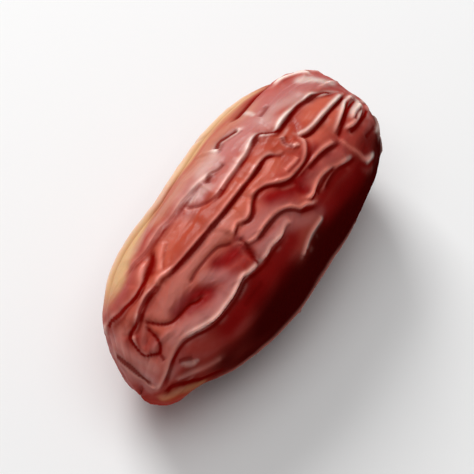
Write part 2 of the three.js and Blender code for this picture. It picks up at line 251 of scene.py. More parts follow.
# %% Creases of the upper side
CREASES = [
    (0.42, [(-70, -17.6), (-70.8, -9), (-72.4, -2), (-72.6, 1), (-71.4, 4.6)]),
    (0.40, [(-73.4, 8), (-68, 7.9), (-62.8, 6.5), (-57.4, 5.2), (-51, 5.1), (-45.7, 7.1), (-41.4, 9.6),
            (-36.7, 11.6), (-30, 12.6), (-21, 12.7), (-14, 11.6), (-10, 13), (-4.4, 14), (1, 13.6),
            (6.7, 13.8), (12, 13.8)]),
    (0.40, [(-73.4, 10), (-68, 11.2), (-62.8, 15.2), (-58.5, 19), (-54, 22), (-49, 25)]),
    (0.32, [(-58.5, 7.4), (-56, 9), (-53.5, 11.4)]),
    (0.44, [(-53.6, -15), (-58, -15.6), (-61.7, -14.6), (-63.8, -10), (-64.4, -6), (-62.7, -3.3), (-60, -1),
            (-57, -2.8), (-55.5, -6), (-54.7, -10.3), (-53.2, -14)]),
    (0.30, [(-60, -1), (-61.4, 2.6)]),
    (0.44, [(-53.4, -15), (-51.5, -10.6), (-50, -7.6), (-47.8, -5), (-45, -3.6), (-41.4, -3),
            (-36, -2), (-32.8, 0), (-28, 0.5)]),
    (0.34, [(-60, -15.3), (-53, -15.9), (-50, -17.3), (-45.6, -17.8), (-35.6, -17.6)]),
    (0.46, [(-35, -16.4), (-29.4, -15.8), (-21, -14.8), (-12.8, -13.9), (-6, -13.5), (-0.6, -12.6),
            (6.7, -12), (15, -11.4), (25, -10.9), (28.9, -11.2), (32.2, -10.9), (34.4, -9.2),
            (36.7, -6.4), (40, -6.4)]),
    (0.36, [(-65, -24.2), (-60.6, -23.4), (-57.8, -22.8), (-52, -22.6), (-46.7, -21.7), (-41, -22.2),
            (-35.6, -23.7), (-31.7, -25), (-28.3, -26.8), (-25, -28.7)]),
    (0.28, [(-44, -30), (-32, -29.8), (-25, -29.4), (-18, -29.8), (-7, -28.9), (1, -28.7), (10, -26.8)]),
    (0.32, [(9, -24.8), (13, -26), (17, -24.8), (21, -24.2)]),
    (0.30, [(-3.9, -27), (-1.7, -24.2), (1, -22), (5, -19.5), (8.3, -18.4), (12, -18.2)]),
    (0.24, [(8.3, -18.4), (20, -18.1), (26.7, -18), (33, -18.9)]),
    (0.36, [(30, -18.4), (37.8, -19.3), (41, -16.6), (44.4, -13.4), (50, -13), (57, -12.6),
            (61.7, -10.9), (66.7, -8.1), (69.4, -4.8), (71.7, -2.6)]),
    (0.42, [(23, -30), (26.5, -31), (30, -29.9), (32.5, -28.9), (36, -27.6)]),
    (0.60, [(35, -32), (43, -31), (49, -30.3), (54.4, -29.2), (60, -27), (65.6, -23.7), (69, -20.9),
            (71, -17)]),
    (0.26, [(45, -23.7), (49, -23.4), (51, -24)]),
    (0.30, [(43.3, -10.9), (41.6, -8), (42, -4.2)]),
    (0.40, [(47.6, -6.6), (48.6, -3.5), (52.2, -1.6), (57, -1), (62.8, -0.6), (68.3, 0.2), (72.8, 0.8)]),
    (0.30, [(-29.4, -7.3), (-24, -8.1), (-16.7, -7.8), (-11, -7), (-8.3, -5.9), (-6, -3.7), (-3.3, -2)]),
    (0.34, [(-1.6, -1.5), (-1.8, 2), (-3.4, 6), (-5.4, 10), (-6, 12)]),
    (0.44, [(0.6, -3.1), (3.9, -3.4), (7.2, -1.8), (10.6, -2.3), (13.3, -4.2), (17, -5.6), (20.6, -4.8),
            (23.3, -2.6), (26, 0.2), (29.4, 2.1), (34, 3), (40, 3.4), (44.4, 3), (47.8, 2.2)]),
    (0.34, [(37.8, 6.0), (43.3, 6.6), (49, 7.9), (54, 9.9), (55.6, 11.3)]),
    (0.44, [(0.6, 5.6), (9.4, 5.8), (15, 6.3), (18.3, 7.6), (20.4, 10), (22, 13), (25.4, 15.6),
            (28.9, 18.4)]),
    (0.40, [(31.7, 15), (35, 14.2), (40, 13.6), (43.5, 13.9), (46, 14.6)]),
    (0.34, [(35.5, 17), (40, 16), (45, 16), (48, 17), (51, 18.4), (54.4, 19.2)]),
    (0.42, [(56, 8.6), (60, 7.6), (64.4, 6.3), (69, 5), (74, 5.2)]),
    (0.38, [(61, 10.6), (63.3, 11.9), (68.3, 12.2), (72.8, 11.3)]),
    (0.32, [(62.8, 17.4), (69, 18)]),
    (0.18, [(-24, 17), (-10, 17.4)]),
]
print(f"{len(CRESTS)} crests and {len(CREASES)} creases are drawn by hand")

# %% Soft hollows, each with its depth and half width in millimetres
HOLLOWS = [
    (0.34, 1.2, [(-42, -4), (-35, -3.4), (-28, -1), (-25, 3)]),
    (0.34, 1.1, [(-14, -1), (-10, -2.6), (-6, -2)]),
    (0.26, 1.0, [(30, 9), (33, 8), (36, 8.6)]),
    (0.20, 1.1, [(-32, -22), (-20, -23), (-8, -22)]),
    (0.18, 1.2, [(50, -9), (58, -8), (66, -6)]),
]

# %% [markdown]
# ## The folds that we can't see from the front
#
# The sides and the underside carry the same kind of folds. Nobody reads those one by one, so a
# rule draws them: lines from end to end that wander, each with a fork to its neighbour. The
# random numbers come from a small generator with a fixed seed, so it is the same fruit each
# time. Short pleats gather the skin at the tip and round the scar of the stem.


# %% Random numbers that come out the same each time
def seeded(seed):
    state = seed

    def draw(start, end):
        nonlocal state
        state = (state * 1664525 + 1013904223) % 2**32
        return start + (end - start) * state / 2**32

    return draw


# %% Long folds of the sides and the underside
SIDE_FOLDS = 10
FIRST_AT, LAST_AT = 82, 278  # degrees round the fruit
LINE_START, LINE_END = (-0.84, -0.5), (0.55, 0.93)
FORK_START, FORK_REACH = (-0.6, 0.5), (0.14, 0.3)
MARKS = 9


def side_folds():
    """Rise, spread and crease depth of each fold in millimetres, and the t and angle of its line."""
    draw = seeded(20)
    turn = [FIRST_AT + (LAST_AT - FIRST_AT) * k / (SIDE_FOLDS - 1) for k in range(SIDE_FOLDS)]
    for k in range(SIDE_FOLDS):
        start, end = draw(*LINE_START), draw(*LINE_END)
        middle = turn[k] + draw(-4, 4)
        sway, phase, waves = draw(3, 7), draw(0, 6.28), draw(3.5, 6.5)
        flip = draw(0, 1) < 0.5
        t = start + (end - start) * np.arange(MARKS) / (MARKS - 1)
        angle = middle + sway * np.sin(waves * t + phase) + 2 * np.sin(11 * t + 2 * phase)
        if flip:
            t, angle = t[::-1], angle[::-1]
        yield draw(0.28, 0.46), draw(0.7, 0.95), draw(0.2, 0.36), t, np.radians(angle)
        if k == 0:
            continue
        fork, reach = draw(*FORK_START), draw(*FORK_REACH)
        t = fork + reach * np.array([0, 0.35, 0.6, 1])
        angle = np.array([turn[k - 1] + 1, turn[k - 1] + 5, turn[k] - 6, turn[k] - 1])
        yield draw(0.24, 0.4), draw(0.6, 0.8), draw(0.1, 0.26), t, np.radians(angle)


# %% Pleats at both ends, each end with its t, its count, and its ranges of reach and rise
TIP_PLEATS = (-0.985, 13, (0.1, 0.26), (0.08, 0.18))
STEM_PLEATS = (0.965, 15, (0.1, 0.24), (0.16, 0.3))
PLEAT_CREASE = 0.1  # mm


def end_pleats():
    """The same numbers for the short pleats as for the long folds."""
    draw = seeded(7)
    for end, count, reach, rises in (TIP_PLEATS, STEM_PLEATS):
        for k in range(count):
            at = 360 * k / count + draw(-7, 7)
            back = end - math.copysign(draw(*reach), end)
            rise, spread = draw(*rises), draw(0.45, 0.6)
            t = np.array([end, (end + back) / 2, back])
            yield rise, spread, PLEAT_CREASE, t, np.radians([at, at + draw(-4, 4), at + draw(-9, 9)])


# %% [markdown]
# ## The ball that becomes the fruit
#
# We need a mesh fine enough to hold a crest a third of a millimetre wide. A ball with many
# meridians and rings is a good start: its poles become the tip and the scar of the stem, so the
# rings run round the fruit and the meridians along it, as the folds do.

# %% Add the ball
MERIDIANS = 352
RINGS = 276
bpy.ops.object.select_all(action="DESELECT")
bpy.ops.mesh.primitive_uv_sphere_add(segments=MERIDIANS, ring_count=RINGS, radius=1)
skin = bpy.context.object
skin.name = "date_skin"
ball = np.empty(3 * len(skin.data.vertices))
skin.data.vertices.foreach_get("co", ball)
ball = ball.reshape(-1, 3)
print(f"{len(ball)} points on the ball")

# %% Lay the points on the smooth body
RING_EVENING = 0.68  # under 1, rings leave the poles for the middle
FRONT_CROWDING = 0.40  # share by which the meridians crowd on the side that faces us
bluntness = np.where(ball[:, 2] < 0, TIP_BLUNTNESS, STEM_BLUNTNESS)
axial = RING_EVENING * ball[:, 2]
off_pole = np.hypot(ball[:, 0], ball[:, 1])
t = axial / (off_pole**bluntness + np.abs(axial) ** bluntness) ** (1 / bluntness)
even_angle = np.arctan2(ball[:, 0], ball[:, 1])
angle = even_angle - FRONT_CROWDING * np.sin(even_angle)
body = body_points(t, angle)
out = outward(body)
print(f"the smooth body is {np.ptp(body, axis=0).round(1)} mm before it is pressed flat")

# %% [markdown]
# ## Raising the folds
#
# For each fold we find how far every point of the skin is from its line. Where two folds meet,
# their heights must not simply add up, or each fork would be a knob. We add their third powers
# and take the root: that keeps the higher of the two and still blends them softly.


# %% Measure the distance to a fold
BLOCK = 4000  # points at a time, so that the table of distances stays small


def nearest(line, reach):
    """Points of the body within reach of the line, their distance to it, and their nearest mark."""
    inside = np.all((body > line.min(0) - reach) & (body < line.max(0) + reach), axis=1)
    picked = np.flatnonzero(inside)
    best = np.empty(len(picked), int)
    gap = np.empty(len(picked))
    for start in range(0, len(picked), BLOCK):
        block = slice(start, start + BLOCK)
        square = ((body[picked[block], None, :] - line[None]) ** 2).sum(2)
        best[block] = square.argmin(1)
        gap[block] = np.sqrt(square.min(1))
    close = gap < reach
    return picked[close], gap[close], best[close]


# %% Blend the folds
BLEND = 3.0
END_HEIGHT = 0.2  # share of its height with which a fold begins and ends
crest, shoulder, crease, valley = (np.zeros(len(body)) for _ in range(4))
dry_crest_and_highlight, painted_fold_shade, painted_slope_shade, painted_upslope_light = (np.zeros(len(body)) for _ in range(4))


def add(field, picked, value):
    field[picked] = (field[picked] ** BLEND + value**BLEND) ** (1 / BLEND)


def end_fade(line, share=0.1):
    s = np.linspace(0, 1, len(line))
    return END_HEIGHT + (1 - END_HEIGHT) * smoothstep(s, 0, share) * smoothstep(1 - s, 0, share)


def bell(gap, middle, spread):
    return np.exp(-(((gap - middle) / spread) ** 2))


# %% [markdown]
# ## The cross-section of a fold
#
# A fold isn't the same on both sides: it leans over, like a wave, away from the light. So its
# crest and its shoulder have two half widths, on the light side first and then on the lee side.
# While we raise a fold we also note where the painter will want colour, and most of it is painted
# light and shade: a pale line on the crest, partly dry skin and partly a painted highlight; a
# painted shade as a dark line close behind it, with a soft shade; here and there a painted
# highlight as a pale rim beyond the shade; and on the light side a painted shade as a faint red
# and a painted light as a lighter brown just before the crest.

# %% Half widths across a fold, in millimetres
CREST_WIDTH = (0.20, 0.11)
SHOULDER_WIDTH = (1.7, 0.25)
PALE_LINE_WIDTH = (0.31, 0.14)
CREASE_WIDTH = 0.20
VALLEY_WIDTH = 0.55
CREASE_LINE_WIDTH = 0.18
CREASE_SHADE_WIDTH = 0.648
UPSLOPE_REACH = 0.5
# The distance from the crest and the half width of the bands beside it: a painted shade in the
# dark line and the lee shade, a painted highlight in the rim, and a painted shade on the slope
# towards the light.
DARK_LINE = (0.33, 0.14)
LEE_SHADE = (0.60, 0.40)
RIM_HIGHLIGHT = (0.85, 0.20)
SLOPE_SHADE_BAND = (0.55, 0.25)

# %% Shares of a fold's height, and strengths of its colours
CREST_SHARE, SHOULDER_SHARE = 0.22, 0.75
CREASE_SHARE, VALLEY_SHARE = 0.26, 0.40
CREST_TOP, CREASE_BOTTOM = 0.9, 0.5
LEE_SHADE_STRENGTH = 0.25
CREASE_SHADE_STRENGTH = 0.42
RIM_STRENGTH = 0.3
FULL_COLOUR = 0.36  # mm of height or depth that give a fold its full colour
CREST_REACH, CREASE_REACH = 3, 2.4  # mm
NARROWEST = 0.55
seen_narrower = np.clip(np.cos(angle), NARROWEST, 1)
print(f"a line on the far flank is drawn up to {1 / NARROWEST:.1f} times as wide, so that we see it as wide")

# %% Which side of a fold is the lee side
LEE_TO_THE_RIGHT = 0.35
lee = LEE_TO_THE_RIGHT * np.array([1, 0, 0]) - page_up
lee /= np.linalg.norm(lee)
BEAT_DEPTH, BEAT_PITCH = 0.6, 1.6  # a share of the height, and millimetres


def lee_share(picked, mark):
    """How far a point lies on the side of the fold that turns away from the light, 0 to 1."""
    away = body[picked] - mark
    return 0.5 + 0.5 * away @ lee / np.maximum(np.linalg.norm(away, axis=1), 1e-6)


def slope(gap, widths, share):
    return bell(gap, 0, widths[0] + (widths[1] - widths[0]) * share)


def beat(line, shift=0):
    """A fold swells and fades along its way."""
    return np.array([1 + BEAT_DEPTH * noise.noise(Vector(mark / BEAT_PITCH + shift)) for mark in line])


# %% Raise the drawn crests
for rise, path in CRESTS:
    line = curve_through(body_points(*on_fruit(path, MEAN_LEVEL + CREST_TOP * rise)))
    picked, gap, best = nearest(line, CREST_REACH)
    gap *= seen_narrower[picked]
    share = lee_share(picked, line[best])
    fade = (end_fade(line) * beat(line))[best]
    strength = fade * min(1, rise / FULL_COLOUR)
    add(crest, picked, CREST_SHARE * rise * fade * slope(gap, CREST_WIDTH, share))
    add(shoulder, picked, SHOULDER_SHARE * rise * fade * slope(gap, SHOULDER_WIDTH, share))
    # painted highlight on the crest, over its pale dry skin
    add(dry_crest_and_highlight, picked, strength * slope(gap, PALE_LINE_WIDTH, share))
    # a painted highlight: here and there a pale rim beyond the lee shade
    rim_highlight = np.clip(beat(line, shift=7)[best] - 1, 0, RIM_STRENGTH)
    add(dry_crest_and_highlight, picked, rim_highlight * strength * share**2 * bell(gap, *RIM_HIGHLIGHT))
    # painted shade: a dark line close behind the crest, with a soft shade in its lee
    shade = np.minimum(1, bell(gap, *DARK_LINE) + LEE_SHADE_STRENGTH * bell(gap, *LEE_SHADE))
    add(painted_fold_shade, picked, strength * share**2 * shade)
    # painted light: a lighter brown on the slope towards the light, just before the crest
    add(painted_upslope_light, picked, strength * (1 - share) * np.exp(-gap / UPSLOPE_REACH))
    # painted shade: a faint red band on the slope towards the light
    add(painted_slope_shade, picked, strength * (1 - share) * bell(gap, *SLOPE_SHADE_BAND))
print(f"the crests stand up to {(crest + shoulder).max():.2f} mm high")

# %% Sink the drawn creases
for depth, path in CREASES:
    line = curve_through(body_points(*on_fruit(path, MEAN_LEVEL - CREASE_BOTTOM * depth)))
    picked, gap, best = nearest(line, CREASE_REACH)
    gap *= seen_narrower[picked]
    fade = end_fade(line)[best]
    add(crease, picked, CREASE_SHARE * depth * fade * bell(gap, 0, CREASE_WIDTH))
    add(valley, picked, VALLEY_SHARE * depth * fade * bell(gap, 0, VALLEY_WIDTH))
    # painted shade: a dark line along the crease, with a soft shade round it
    shade = bell(gap, 0, CREASE_LINE_WIDTH) + CREASE_SHADE_STRENGTH * bell(gap, 0, CREASE_SHADE_WIDTH)
    add(painted_fold_shade, picked, fade * min(1, depth / FULL_COLOUR) * np.minimum(1, shade))
print(f"the creases are up to {(crease + valley).max():.2f} mm deep")

# %% Sink the soft hollows
hollow = np.zeros(len(body))
for depth, spread, path in HOLLOWS:
    line = curve_through(body_points(*on_fruit(path)))
    picked, gap, best = nearest(line, 3 * spread)
    add(hollow, picked, depth * bell(gap, 0, spread))
print(f"{len(HOLLOWS)} hollows, up to {hollow.max():.2f} mm deep")

# %% [markdown]
# ## The unseen folds get a simpler cross-section
#
# These folds share one shape, and their widths are shares of one spread: a narrow crest on a
# broad shoulder, and on their left side a crease in a valley, nearly one spread away.

# %% Raise the folds that the rule draws
CREST_SPREAD, SHOULDER_SPREAD = 0.36, 1.2
CREASE_SPREAD, VALLEY_SPREAD = 0.4, 0.9
CREASE_AWAY = 0.9
RULE_CREST, RULE_SHOULDER = 0.45, 0.65
RULE_CREASE = 0.5
RULE_PALE = 0.45
RULE_END = 0.16  # share of its length over which such a fold begins and ends
RULE_REACH = 3.2
RULE_FULL_RISE, RULE_FULL_DEPTH = 0.4, 0.3  # mm
drawn_by_rule = [*side_folds(), *end_pleats()]
for rise, spread, depth, fold_t, fold_angle in drawn_by_rule:
    line = curve_through(body_points(fold_t, fold_angle))
    picked, gap, best = nearest(line, RULE_REACH * spread)
    fade = end_fade(line, RULE_END)[best]
    tangent = np.gradient(line, axis=0)
    left = np.cross(outward(line), tangent / np.linalg.norm(tangent, axis=1, keepdims=True))
    side = ((line[best] - body[picked]) * left[best]).sum(1)
    beside = np.sqrt((side - CREASE_AWAY * spread) ** 2 + np.maximum(0, gap**2 - side**2))
    add(crest, picked, RULE_CREST * rise * fade * bell(gap, 0, CREST_SPREAD * spread))
    add(shoulder, picked, RULE_SHOULDER * rise * fade * bell(gap, 0, SHOULDER_SPREAD * spread))
    # pale crest of the unseen folds: dry skin with a painted highlight
    pale = RULE_PALE * fade * min(1, rise / RULE_FULL_RISE)
    add(dry_crest_and_highlight, picked, pale * bell(gap, 0, PALE_LINE_WIDTH[0]))
    add(crease, picked, RULE_CREASE * depth * fade * bell(beside, 0, CREASE_SPREAD * spread))
    add(valley, picked, RULE_CREASE * depth * fade * bell(beside, 0, VALLEY_SPREAD * spread))
    # painted shade in the crease beside an unseen fold
    dark = fade * min(1, depth / RULE_FULL_DEPTH)
    add(painted_fold_shade, picked, dark * bell(beside, 0, CREASE_SPREAD * spread))
print(f"{len(drawn_by_rule)} folds drawn by the rule")

# %% [markdown]
# ## Small wrinkles between the folds
#
# Between two folds the skin isn't smooth: it carries faint wrinkles that run the same way. They
# are too many to draw, and here noise is the right tool, if it is stretched along the fruit
# and bent a little, so that it makes lines and not dots. The bends come from noise_vector,
# which Blender starts from the clock, so we give it a seed: then each run makes the same skin.


# %% Small wrinkles
COARSE_HIGH, FINE_HIGH = 0.07, 0.025  # mm
CALMED = 0.8  # share that the taut skin of the dark flank loses
BENDS_ALONG, BENDS_ACROSS = 9, 5  # mm from one bend to the next
BENDS_SEED = 4
noise.seed_set(BENDS_SEED)


def wrinkle(point, pitch, stretch, bend, seed):
    x, y, z = point
    spot = Vector((x / (pitch * stretch), y / pitch, z / pitch + seed))
    warp = noise.noise_vector(Vector((x / BENDS_ALONG, y / BENDS_ACROSS, z / BENDS_ACROSS + seed)))
    return 1 - 2 * abs(noise.noise(spot + bend * warp))


coarse = np.array([wrinkle(p, pitch=1.7, stretch=3.2, bend=1.4, seed=3.1) for p in body])
fine = np.array([wrinkle(p, pitch=0.8, stretch=3.0, bend=1.6, seed=11.7) for p in body])
degrees = np.degrees(angle)
calm = smoothstep(degrees, 22, 32) * (1 - smoothstep(degrees, 58, 70))
calm *= smoothstep(t, -0.75, -0.6) * (1 - smoothstep(t, 0.45, 0.7))
wrinkles = COARSE_HIGH * np.clip(coarse, 0, 1) ** 2 + FINE_HIGH * np.clip(fine, 0, 1) ** 2
wrinkles *= 1 - CALMED * calm
print(f"wrinkles up to {wrinkles.max():.2f} mm high")

# %% [markdown]
# ## Lumps and both ends
#
# A dried fruit is never quite round. A few waves of different lengths, laid over one another,
# give it soft lumps that no eye takes for a pattern. At one end the skin sinks in a small cup
# with a raised rim, where the stem was, and at the other it keeps the point of the flower.


# %% Broad lumps
def lumps(t, angle):
    return (
        0.14 * np.sin(2 * angle + 2.1 * t + 0.6)
        + 0.12 * np.sin(3 * angle - 4.3 * t + 2.2)
        + 0.10 * np.sin(angle + 7.1 * t + 1.1)
        + 0.07 * np.sin(5 * angle + 5.7 * t)
    )


print(f"lumps up to {lumps(t, angle).max():.2f} mm high")

# %% The scar of the stem and the point of the tip
SCAR_RADIUS, SCAR_DEPTH = 2.1, 0.55  # mm
RIM_WIDTH, RIM_HIGH = 0.5, 0.32  # mm
POINT_WIDTH, POINT_HIGH = 0.7, 0.2  # mm
off_axis = np.hypot(body[:, 1], body[:, 2])
stem_end = smoothstep(t, 0.3, 0.6)
tip_end = smoothstep(-t, 0.3, 0.6)
scar = stem_end * (1 - smoothstep(off_axis, 0.5 * SCAR_RADIUS, SCAR_RADIUS))
scar_rim = stem_end * bell(off_axis, SCAR_RADIUS, RIM_WIDTH)
tip_middle = body + np.outer(tip_drop(t), page_up)
tip_point = tip_end * bell(np.hypot(tip_middle[:, 1], tip_middle[:, 2]), 0, POINT_WIDTH)
end_marks = RIM_HIGH * scar_rim - SCAR_DEPTH * scar + POINT_HIGH * tip_point
print(f"the scar is {2 * SCAR_RADIUS} mm wide")

# %% [markdown]
# ## Moving the points
#
# Now the whole relief is added up, and each point moves outwards by it. Near the table there
# are no folds, because the fruit's weight has pressed them out, and no point goes below it.

# %% Move the points
FREE_FROM = 0.9  # mm above the table, where the folds have their full height
free = smoothstep(body[:, 2], floor_level, floor_level + FREE_FROM)
relief = crest + shoulder - crease - valley - hollow + wrinkles + lumps(t, angle)
place = body + out * (free * relief + end_marks)[:, None]
place[:, 2] = np.maximum(place[:, 2], floor_level)
place -= (place.min(0) + place.max(0)) / 2
place[:, 2] += -place[:, 2].min()
middle = (low + high) / 2
place[:, :2] += np.array(middle[:2]) / MM
skin.data.vertices.foreach_set("co", (place * MM).ravel())
skin.data.update()
print(f"the skin measures {np.ptp(place, axis=0).round(2)} mm")

# %% Turn the faces outwards and shade them smooth
bpy.ops.object.select_all(action="DESELECT")
skin.select_set(True)
bpy.context.view_layer.objects.active = skin
bpy.ops.object.mode_set(mode="EDIT")
bpy.ops.mesh.select_all(action="SELECT")
bpy.ops.mesh.normals_make_consistent(inside=False)
bpy.ops.object.mode_set(mode="OBJECT")
bpy.ops.object.shade_smooth()
print(f"{len(skin.data.polygons)} faces")

# %% [markdown]
# ## Notes for the painter
#
# The colour of a date follows its folds, and much of it here is painted light and shade: the
# crests carry pale dry skin with a painted highlight, the creases and the lee of each fold carry a
# painted shade, one flank carries a painted shadow that makes it nearly black, and along the other
# edge the skin is thin and yellow. We keep what we know about each point as an attribute of the
# mesh, so that the material can use it, from whichever side it is seen. Borders that follow an
# angle exactly would look ruled, so some noise makes them ragged.


# %% Keep the marks of the folds
def keep(name, values):
    layer = skin.data.attributes.new(name, "FLOAT", "POINT")
    layer.data.foreach_set("value", np.clip(values, 0, 1).astype(np.float32))
    print(f"{name}: {100 * (np.asarray(values) > 0.5).mean():.0f} % of the skin")


ragged = np.array([noise.noise(Vector((p[0] / 4, p[1] / 2.5, p[2] / 2.5))) for p in body])
TAN_MIDDLE, TAN_SOFT = 66, 14  # degrees up the bright side
tan_edge = -(degrees + 5 * ragged)
tan_start = TAN_MIDDLE - 10 * bell(t, -0.6, 0.25)
tan_band = smoothstep(tan_edge, tan_start, tan_start + TAN_SOFT) * (1 - smoothstep(tan_edge, 84, 112))
tan_band *= smoothstep(t, -0.82, -0.62) * (1 - smoothstep(t, 0.6, 0.88))
keep("tan_band", tan_band)
# painted light and shade along the folds: highlights on the crests, shade in their lee and in the creases,
# and light and shade on the slopes towards the light
keep("dry_crest_and_highlight", dry_crest_and_highlight * free)
keep("painted_fold_shade", painted_fold_shade * free * (1 - 0.5 * tan_band))
keep("painted_slope_shade", painted_slope_shade * free)
keep("painted_upslope_light", painted_upslope_light * free)
keep("scar", scar)

# %% Keep the painted shadow of the dark flank, and the bright flank
edge = degrees + 14 * ragged
underside = smoothstep(edge, 150, 200)
# painted shadow: the flank that turns away from the light is painted nearly black
shadow_side = smoothstep(edge, 22, 50) * (1 - 0.3 * smoothstep(edge, 80, 105)) * (1 - underside)
keep("shadow_side", shadow_side * smoothstep(t + 0.2 * ragged, -1.0, -0.35))
keep("lit_side", 1 - smoothstep(edge, 14, 44) * (1 - underside))
keep("dark_tip", smoothstep(-t, 0.5, 0.85))

# %% Keep where the crests are bleached and where their painted highlight turns white
lower_band = smoothstep(degrees, 4, 24) * (1 - smoothstep(degrees, 45, 60))
tip_above = smoothstep(-t, 0.5, 0.8) * (1 - smoothstep(degrees, 0, 15))
# partly bleached skin, partly a painted glint that turns the crest highlight white
bleached_and_glinting = smoothstep(t - degrees / 60, 0.3, 1.0) + smoothstep(t, 0.75, 0.92)
bleached_and_glinting += 0.4 * lower_band * (1 - smoothstep(t, -0.1, 0.15))
bleached_and_glinting += 0.3 * tip_above
keep("bleached_and_glinting", bleached_and_glinting)

# %% [markdown]
# ## Panels of colour
#
# Between the folds the skin makes panels, and each has its own tone: orange where it lies close
# on light flesh, deep red where it is sunken and moist, dull pink where it has come away from
# the flesh, with a painted sheen on the lit side, yellow where it is thin, and near white strokes
# which are painted highlights, with a little bleached cream skin. We paint them as a child would,
# with broad soft strokes on the same flat drawing as the folds. A stroke is given by its
# strength, its half width in millimetres and its middle line.

# %% Strokes of the warm tones
PANELS = {}
PANELS["light"] = [
    (0.8, 1.2, [(-62, -20), (-50, -20.5), (-38, -21)]),
    (0.8, 1.0, [(-62, 3), (-52, 1), (-40, 4)]),
    (1, 1.7, [(-48, -9), (-20, -10), (8, -8), (30, -8)]),
    (1, 1.4, [(-30, -24), (-10, -25)]),
    (1, 1.0, [(-67, -17), (-68, -8), (-66, 0)]),
    (1, 1.3, [(56, -8), (66, -5)]),
    (1, 1.2, [(52, 0), (66, 2)]),
]
PANELS["orange"] = [
    (1, 2.3, [(-34, -22), (-10, -20), (20, -15), (46, -12)]),
    (1, 1.3, [(50, -5), (66, -7)]),
    (1, 1.5, [(-48, -8), (-20, -10), (10, -8)]),
    (0.9, 0.6, [(-74, 12), (-64, 18.4), (-58, 22)]),
]
PANELS["tan"] = [
    (0.35, 0.5, [(-74.5, 11), (-68, 14.8), (-63.8, 18), (-60, 20.6)]),
    (0.25, 1.5, [(-16, -35), (10, -35), (45, -31)]),
]

# %% Strokes of the moist red
PANELS["moist"] = [
    (0.9, 0.6, [(-34, -23.6), (-30, -25.4)]),
    (1, 0.8, [(-42, -5), (-36, -4.5), (-30, -2), (-26, 2)]),
    (0.9, 0.6, [(-38, -1), (-32, 1.5), (-27, 3.5)]),
    (1, 1.0, [(-15, -2.5), (-11, 0), (-7, 1)]),
    (0.7, 0.7, [(-19, 4), (-13, 6), (-8, 7)]),
    (0.9, 0.6, [(-2, -1), (-3, 4), (-5.5, 10)]),
    (1, 1.1, [(19, 0), (26, 4), (36, 5), (46, 4)]),
    (0.9, 0.9, [(28, 18.5), (42, 17), (52, 20)]),
    (1, 1.0, [(27, 1), (29.5, 6), (31.2, 11.5)]),
    (0.5, 0.9, [(22, 13), (27, 16), (32, 18)]),
    (0.9, 1.7, [(30, 22), (56, 24)]),
    (0.9, 1.8, [(-35, 16.6), (-14, 17), (10, 17)]),
]

# %% Strokes of the dry pink, with a painted sheen
PANELS["dry_and_sheen"] = [
    (0.75, 2.4, [(2, -30), (20, -29), (42, -25)]),
    (0.5, 1.1, [(-34, -34), (8, -34)]),
    (0.6, 2.2, [(46, -27), (58, -21), (68, -14)]),
    (0.6, 1.1, [(-52, 1), (-42, 4), (-30, 8), (-18, 8)]),
    (0.45, 1.3, [(3, 2), (14, 5), (20, 12)]),
    (0.8, 1.2, [(-71, -14), (-72, 2)]),
    (0.9, 0.9, [(-64, 8.5), (-56, 12.5), (-49, 17), (-42, 21)]),
    (0.5, 0.9, [(-23, -4), (-20, 0), (-18, 3)]),
    (0.2, 0.9, [(-66, -21), (-50, -27), (-38, -29)]),
    (0.2, 1.1, [(36, 10), (52, 13)]),
    (0.35, 1.3, [(-46, -10), (-20, -11), (0, -10)]),
    (0.6, 0.9, [(-66, -19), (-68, -9), (-67, 1)]),
    (0.7, 0.8, [(0, 9), (8, 10), (15, 10.6)]),
    (0.5, 0.9, [(14, 11), (18, 14.5), (22, 18), (27, 21)]),
    (0.5, 0.8, [(-6, -24.5), (10, -23.5)]),
]

# %% Strokes of painted white highlights, with some bleached cream skin
PANELS["highlight_and_cream"] = [
    (0.8, 0.6, [(67, -18), (70, -14), (73, -8)]),
    (0.35, 1.2, [(46, -21), (52, -20), (60, -15)]),
    (0.7, 0.3, [(43.5, -31), (44.8, -27)]),
    (1, 0.6, [(68.3, 7.4), (74, 7)]),
    (0.7, 0.3, [(68.3, 19.9), (71.7, 18.8)]),
    (0.6, 0.25, [(49, -6), (54, -3.5), (62, -2.4), (70, -1.3)]),
    (1, 0.4, [(56, 23.7), (59, 24.3)]),
    (0.5, 0.3, [(49.5, 16), (52.8, 17.4)]),
    (0.4, 0.9, [(12, -30), (20, -29)]),
    (0.4, 0.8, [(0, -27), (8, -24.5)]),
    (0.6, 0.25, [(-15, 9.4), (-10, 10.4), (-4, 11.4)]),
    (0.6, 0.42, [(-46, 4.8), (-40, 7.6), (-34, 9.6), (-28, 10.5)]),
    (0.6, 0.3, [(12, 24), (15, 23), (20, 22.2), (25, 22.2)]),
    (0.3, 0.25, [(-58, 9.5), (-55.5, 12), (-53.5, 13.4)]),
]

# %% Paint the strokes
SOFTNESS = 2.5  # a higher power gives a stroke a harder edge
UNEVENNESS = 0.5
for name, strokes in PANELS.items():
    panel = np.zeros(len(body))
    for strength, spread, path in strokes:
        line = curve_through(body_points(*on_fruit(path)))
        picked, gap, best = nearest(line, 2 * spread)
        uneven = gap / (spread * (1 + UNEVENNESS * ragged[picked]))
        panel[picked] = np.maximum(panel[picked], strength * np.exp(-(uneven**SOFTNESS)))
    keep(name, panel)

# %% [markdown]
# ## The skin's material
#
# Date skin is a thin, glossy, red-brown film over syrupy flesh. Light goes in a little way,
# turns red and comes out again, so the shader has some subsurface scattering. A glossy shader
# would lay a grey veil over the dark folds, so the skin itself is matt, and a clear coat gives
# the shine only where the real one catches the light: on the bright side, on dry panels and
# along the crests.
#
# The colour is built like a painting, from the ground up: each layer covers the one below it by
# the share that a note on the mesh gives. Several layers are painted light and shade: highlights
# on the crests, sheen on the dry panels, and shade in the creases and on the dark flank.


